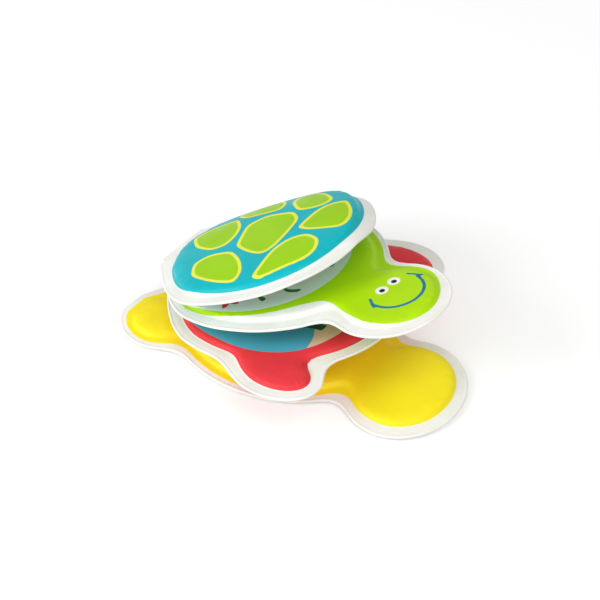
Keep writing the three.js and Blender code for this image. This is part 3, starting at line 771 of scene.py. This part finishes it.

# Spine strips
# Three strips of white film folded round the tail, each welded to two neighbouring leaves. They are the hinges of the
# book. Each strip is built where its lower leaf stands at rest.
STRIP_WIDTH, STRIP_FILM, STRIP_FOOT, STRIP_BULGE = 28.0, 0.5, 2.5, 2.0
BINDING_PITCH = 3.6
STRIP_LOW = 0.95
END_LEAN, END_POWER, RIPPLE, RIPPLES = 0.35, 6, 0.06, 19
FOLD_POINTS, FOOT_POINTS, STRIP_ROWS = 25, 6, 61
white_weld = printed_film("white_weld", [])


def folded_strip(name, leaf):
    """A fold of film carried along the tail: two feet joined by a half oval, and a wall's thickness inside it.

    The fold leans in by a little towards both ends of the strip, where the weld stops.
    """
    high = BINDING_PITCH - STRIP_LOW
    middle = BINDING_PITCH / 2

    def fold(inside):
        turn = np.linspace(-np.pi / 2, np.pi / 2, FOLD_POINTS)
        bulge, half = STRIP_BULGE - inside, high - middle - inside
        foot_x, level = np.linspace(STRIP_FOOT, 0.0, FOOT_POINTS)[:-1], np.ones(FOOT_POINTS - 1)
        x = np.concatenate([foot_x, -bulge * np.cos(turn), foot_x[::-1]])
        z = np.concatenate([level * (middle - half), middle + half * np.sin(turn), level * (middle + half)])
        return x, z

    across = np.linspace(-1.0, 1.0, STRIP_ROWS)
    outer, inner = fold(0.0), fold(STRIP_FILM)
    x, z = np.concatenate([outer[0], inner[0][::-1]]), np.concatenate([outer[1], inner[1][::-1]])
    lean = 1 - END_LEAN * np.abs(across[:, None]) ** END_POWER
    ripple = RIPPLE * np.sin(RIPPLES * across[:, None] + 2 * leaf[2])
    bent = np.where(x[None, :] < 0, x[None, :] * (lean + ripple), x[None, :])
    flat_y = np.broadcast_to(across[:, None] * STRIP_WIDTH / 2, bent.shape)
    points = standing(bent, flat_y, np.broadcast_to(z[None, :], bent.shape), leaf)
    rows, columns = bent.shape
    index = np.arange(rows * columns).reshape(rows, columns)
    after = np.roll(index, -1, axis=1)
    faces = np.stack([index[:-1], after[:-1], after[1:], index[1:]], -1).reshape(-1, 4)
    half_count = columns // 2
    first, second = np.arange(half_count - 1), columns - 1 - np.arange(half_count - 1)
    cap = np.stack([first, second, second - 1, first + 1], -1)
    last_cap = cap[:, ::-1] + (rows - 1) * columns
    mesh = bpy.data.meshes.new(name)
    mesh.from_pydata(points.reshape(-1, 3).tolist(), [], np.concatenate([faces, cap, last_cap]).tolist())
    made = bmesh.new()
    made.from_mesh(mesh)
    bmesh.ops.recalc_face_normals(made, faces=made.faces)
    made.to_mesh(mesh)
    made.free()
    mesh.polygons.foreach_set("use_smooth", np.ones(len(mesh.polygons), bool))
    mesh.materials.append(white_weld)
    strip = bpy.data.objects.new(name, mesh)
    bpy.context.collection.objects.link(strip)
    return strip


STRIPS = [
    ("lower", back_leaf, "back_cover", "flipper_leaf"),
    ("middle", flipper_leaf, "flipper_leaf", "head_leaf"),
    ("upper", head_leaf, "head_leaf", "shell_cover"),
]
for height, leaf, under_body, over_body in STRIPS:
    strip = folded_strip(f"spine_fold_{height}", leaf)
    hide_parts(f"spine_strip_{height}")
    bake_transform(strip)

# Squeaker
# Hidden in the foam of the shell: a cup with an air hole, a cap that slides over it, and a reed in a short tube.
# Moulded in plain plastic with a faint grain from the mould.
GLOSS_BELOW, GLOSS_ABOVE = 0.06, 0.08


def moulded_plastic(name, colour, darker, roughness):
    """Plain moulded plastic: two close tones in soft clouds, with a fine grain in the roughness and the relief."""
    material, tree, shader, place = blank_material(name)
    clouds, grain = noise(tree, place, scale=120.0, detail=2.0), noise(tree, place, scale=2500.0, detail=2.0)
    tone = tree.nodes.new("ShaderNodeValToRGB")
    tone.color_ramp.elements[0].color, tone.color_ramp.elements[1].color = darker, colour
    tone.color_ramp.elements[0].position, tone.color_ramp.elements[1].position = 0.3, 0.65
    gloss = ranged(tree, grain, (0.0, 1.0), (roughness - GLOSS_BELOW, roughness + GLOSS_ABOVE))
    tree.links.new(clouds, tone.inputs["Fac"])
    tree.links.new(tone.outputs["Color"], shader.inputs["Base Color"])
    tree.links.new(gloss, shader.inputs["Roughness"])
    tree.links.new(relief(tree, grain, strength=0.15, distance=0.0001), shader.inputs["Normal"])
    return material


squeaker_plastic = moulded_plastic("squeaker_plastic", ink(236, 231, 220), ink(222, 216, 204), 0.5)
reed_plastic = moulded_plastic("reed_plastic", ink(206, 212, 216), ink(188, 196, 202), 0.38)
SQUEAKER_FINISH = {
    "squeaker_base": squeaker_plastic,
    "squeaker_cap": squeaker_plastic,
    "squeaker_reed_tube": reed_plastic,
    "squeaker_reed": reed_plastic,
}
for node, finish in SQUEAKER_FINISH.items():
    solid = frame["nodes"][node]
    solid.data.materials.clear()
    solid.data.materials.append(finish)

# Table and light
# A sheet of white paper that shows whiter the further it lies from the book. A large soft box lights it from the
# left, a weaker one from above on the right, and a faint one from low in front.
TABLE_HALF, TABLE_DROP = 4.0, 0.0002
PAPER_REACH, PAPER_GLOW = (0.3, 1.1), (0.3, 0.62)
WORLD_LIGHT, WORLD_SEEN = 0.55, 1.0
table_mesh = bpy.data.meshes.new("table")
corners = TABLE_HALF * np.array([[-1, -1], [1, -1], [1, 1], [-1, 1]])
table_mesh.from_pydata([(u, v, -TABLE_DROP) for u, v in corners.tolist()], [], [(0, 1, 2, 3)])
table = bpy.data.objects.new("table", table_mesh)
bpy.context.collection.objects.link(table)

paper = bpy.data.materials.new("white_paper")
paper.use_nodes = True
tree = paper.node_tree
shader = tree.nodes["Principled BSDF"]
shader.inputs["Base Color"].default_value = (0.8, 0.8, 0.8, 1.0)
shader.inputs["Roughness"].default_value = 0.9
shader.inputs["Specular IOR Level"].default_value = 0.1
path = tree.nodes.new("ShaderNodeLightPath")
seen = tree.nodes.new("ShaderNodeMath")
seen.operation = "MAXIMUM"
tree.links.new(path.outputs["Is Camera Ray"], seen.inputs[0])
tree.links.new(path.outputs["Is Glossy Ray"], seen.inputs[1])
place = tree.nodes.new("ShaderNodeNewGeometry")
reach = tree.nodes.new("ShaderNodeVectorMath")
reach.operation = "LENGTH"
tree.links.new(place.outputs["Position"], reach.inputs[0])
rise = ranged(tree, reach.outputs["Value"], PAPER_REACH, PAPER_GLOW, "SMOOTHSTEP")
lift = tree.nodes.new("ShaderNodeMath")
lift.operation = "MULTIPLY"
tree.links.new(seen.outputs[0], lift.inputs[0])
tree.links.new(rise, lift.inputs[1])
tree.links.new(lift.outputs[0], shader.inputs["Emission Strength"])
shader.inputs["Emission Color"].default_value = (1.0, 1.0, 1.0, 1.0)
table_mesh.materials.append(paper)

world = bpy.data.worlds.new("studio")
bpy.context.scene.world = world
world.use_nodes = True
tree = world.node_tree
path = tree.nodes.new("ShaderNodeLightPath")
strength = ranged(tree, path.outputs["Is Camera Ray"], (0.0, 1.0), (WORLD_LIGHT, WORLD_SEEN))
tree.links.new(strength, tree.nodes["Background"].inputs["Strength"])
tree.nodes["Background"].inputs["Color"].default_value = (1.0, 1.0, 1.0, 1.0)


def soft_light(name, place, target, size, watts):
    """A square soft box that faces its target: tipped by the angle off straight down and turned to its bearing."""
    lamp = bpy.data.lights.new(name, "AREA")
    lamp.size, lamp.energy = size, watts
    box = bpy.data.objects.new(name, lamp)
    bpy.context.collection.objects.link(box)
    box.location = place
    aim = np.array(target) - np.array(place)
    box.rotation_euler = (np.arccos(-aim[2] / np.linalg.norm(aim)), 0.0, np.arctan2(-aim[0], aim[1]))


soft_light("key_light", (-0.5, -0.9, 0.65), (0.0, 0.0, 0.02), 0.6, 7.2)
soft_light("front_light", (0.6, -0.25, 0.95), (0.0, 0.0, 0.02), 0.7, 3.5)
soft_light("low_light", (0.4, -0.95, 0.28), (0.0, 0.0, 0.03), 0.6, 1.9)

# Camera
# The view from the front right of the turtle and well above the table, with a long lens.
AZIMUTH, ELEVATION = np.radians(39.218), np.radians(44.349)
DISTANCE = 0.8
TARGET = np.array([0.010138, 0.001875, 0.02])
back = np.array([np.sin(AZIMUTH) * np.cos(ELEVATION), -np.cos(AZIMUTH) * np.cos(ELEVATION), np.sin(ELEVATION)])
lens = bpy.data.cameras.new("camera")
lens.lens, lens.sensor_width = 92.447, 36.0
camera = bpy.data.objects.new("camera", lens)
camera.location = TARGET + DISTANCE * back
camera.rotation_euler = (np.pi / 2 - ELEVATION, 0.0, AZIMUTH)
bpy.context.collection.objects.link(camera)
bpy.context.scene.camera = camera
bpy.context.scene.view_settings.view_transform = "Standard"
